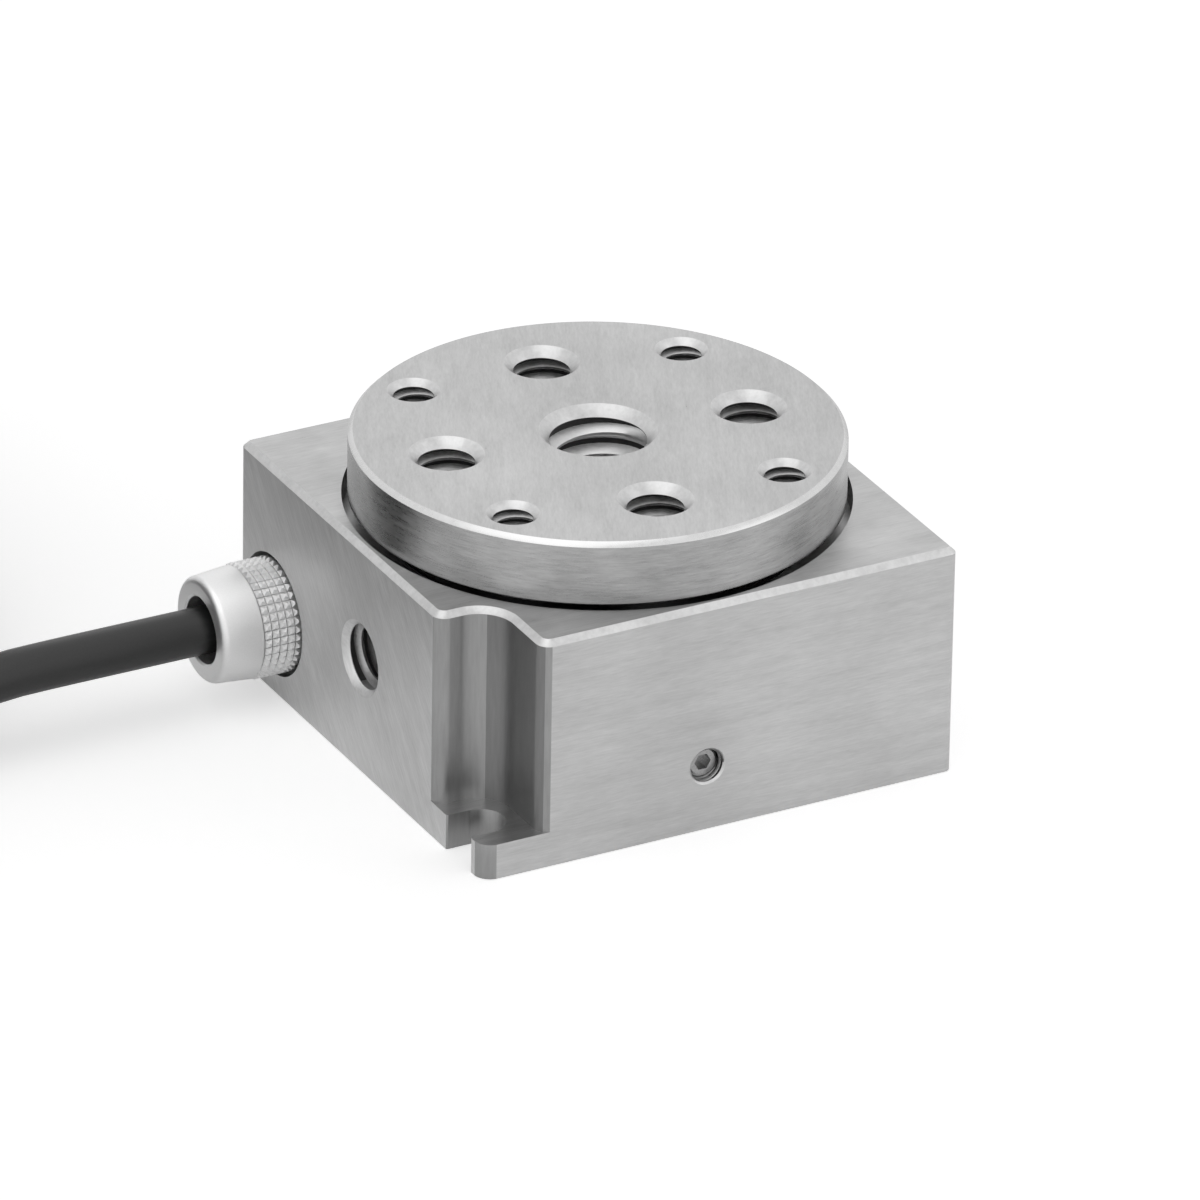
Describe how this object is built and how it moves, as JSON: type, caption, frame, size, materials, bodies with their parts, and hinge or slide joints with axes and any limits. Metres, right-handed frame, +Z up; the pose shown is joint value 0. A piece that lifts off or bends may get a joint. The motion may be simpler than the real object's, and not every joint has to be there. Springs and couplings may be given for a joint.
{
  "type": "rotation stage",
  "caption": "Compact motorised rotation stage: a round tapped platform turns on a square steel body with clamping notches at its corners, and a cable with a plug leaves its side.",
  "frame": {"origin": "the centre of the square body's underside, on the platform's axis", "axes": "+Z up along the platform's axis, +X to the right along the front face, +Y to the back; the cable leaves through the face at -X"},
  "size_m": [0.0929, 0.0673, 0.0273],
  "materials": {
    "body_steel": "brushed stainless steel",
    "platform_steel": "fine ground stainless steel",
    "screw_steel": "plain turned steel",
    "bearing_steel": "polished hardened steel",
    "black_steel": "blackened steel",
    "cage_brass": "plain brass",
    "aluminium": "clear anodised aluminium",
    "ceramic": "ground white ceramic",
    "piezo_ceramic": "coated piezo ceramic",
    "scale_chrome": "chrome on glass",
    "circuit_board": "green solder mask",
    "black_plastic": "moulded black plastic",
    "grey_plastic": "moulded grey plastic",
    "black_rubber": "moulded black rubber",
    "cable_jacket": "matt black cable jacket"
  },
  "bodies": {
    "base": {"stage_body": "body_steel", "bottom_cover": "body_steel", "cover_screw_1": "screw_steel", "cover_screw_2": "screw_steel", "cover_screw_3": "screw_steel", "cover_screw_4": "screw_steel", "bearing_outer_ring": "bearing_steel", "bearing_retainer": "black_steel", "motor_stator": "screw_steel", "motor_screw_1": "screw_steel", "motor_screw_2": "screw_steel", "piezo_stack": "piezo_ceramic", "friction_tip": "ceramic", "preload_leaf": "black_steel", "encoder_board": "circuit_board", "board_screw_1": "screw_steel", "board_screw_2": "screw_steel", "encoder_sensor": "black_plastic", "lead_header": "grey_plastic", "signal_lead_1": "grey_plastic", "signal_lead_2": "grey_plastic", "signal_lead_3": "grey_plastic", "cable_ferrule": "aluminium", "gland_spigot": "screw_steel", "cable_seal": "black_rubber", "cable_run": "cable_jacket", "cable_coil": "cable_jacket", "coil_tie_1": "black_plastic", "coil_tie_2": "black_plastic", "cable_tail": "cable_jacket", "plug_hood_lower": "grey_plastic", "plug_hood_upper": "grey_plastic", "hood_screw_1": "screw_steel", "hood_screw_2": "screw_steel", "plug_shell": "screw_steel", "plug_insert": "black_plastic", "plug_boot": "black_rubber"},
    "turntable": {"platform": "platform_steel", "bearing_inner_ring": "bearing_steel", "rotor_hub": "aluminium", "drive_ring": "ceramic", "encoder_scale": "scale_chrome", "hub_screw_1": "screw_steel", "hub_screw_2": "screw_steel", "hub_screw_3": "screw_steel"},
    "cage": {"bearing_cage": "cage_brass", "bearing_ball_1": "bearing_steel", "bearing_ball_2": "bearing_steel", "bearing_ball_3": "bearing_steel", "bearing_ball_4": "bearing_steel", "bearing_ball_5": "bearing_steel", "bearing_ball_6": "bearing_steel", "bearing_ball_7": "bearing_steel", "bearing_ball_8": "bearing_steel", "bearing_ball_9": "bearing_steel", "bearing_ball_10": "bearing_steel"},
    "adjuster": {"preload_screw": "black_steel"},
    "jackscrew_left": {"plug_jackscrew_left": "screw_steel"},
    "jackscrew_right": {"plug_jackscrew_right": "screw_steel"}
  },
  "joints": [
    {"name": "platform_spin", "type": "hinge", "parent": "base", "child": "turntable", "pos_m": [0, 0, 0.0099], "axis": [0, 0, 1], "continuous": true},
    {"name": "cage_orbit", "type": "hinge", "parent": "base", "child": "cage", "pos_m": [0, 0, 0.0099], "axis": [0, 0, 1], "continuous": true},
    {"name": "adjuster_turn", "type": "hinge", "parent": "base", "child": "adjuster", "pos_m": [-0.00081, -0.0138, 0.00396], "axis": [0, -1, 0], "range_deg": [-180, 180]},
    {"name": "jackscrew_left_turn", "type": "hinge", "parent": "base", "child": "jackscrew_left", "pos_m": [-0.0585, 0.0433, 0.0203], "axis": [-1, 0, 0], "continuous": true},
    {"name": "jackscrew_right_turn", "type": "hinge", "parent": "base", "child": "jackscrew_right", "pos_m": [-0.0585, 0.0183, 0.0203], "axis": [-1, 0, 0], "continuous": true}
  ],
  "couplings": [
    {"joint": "cage_orbit", "follows": "platform_spin", "ratio": 0.4314}
  ]
}
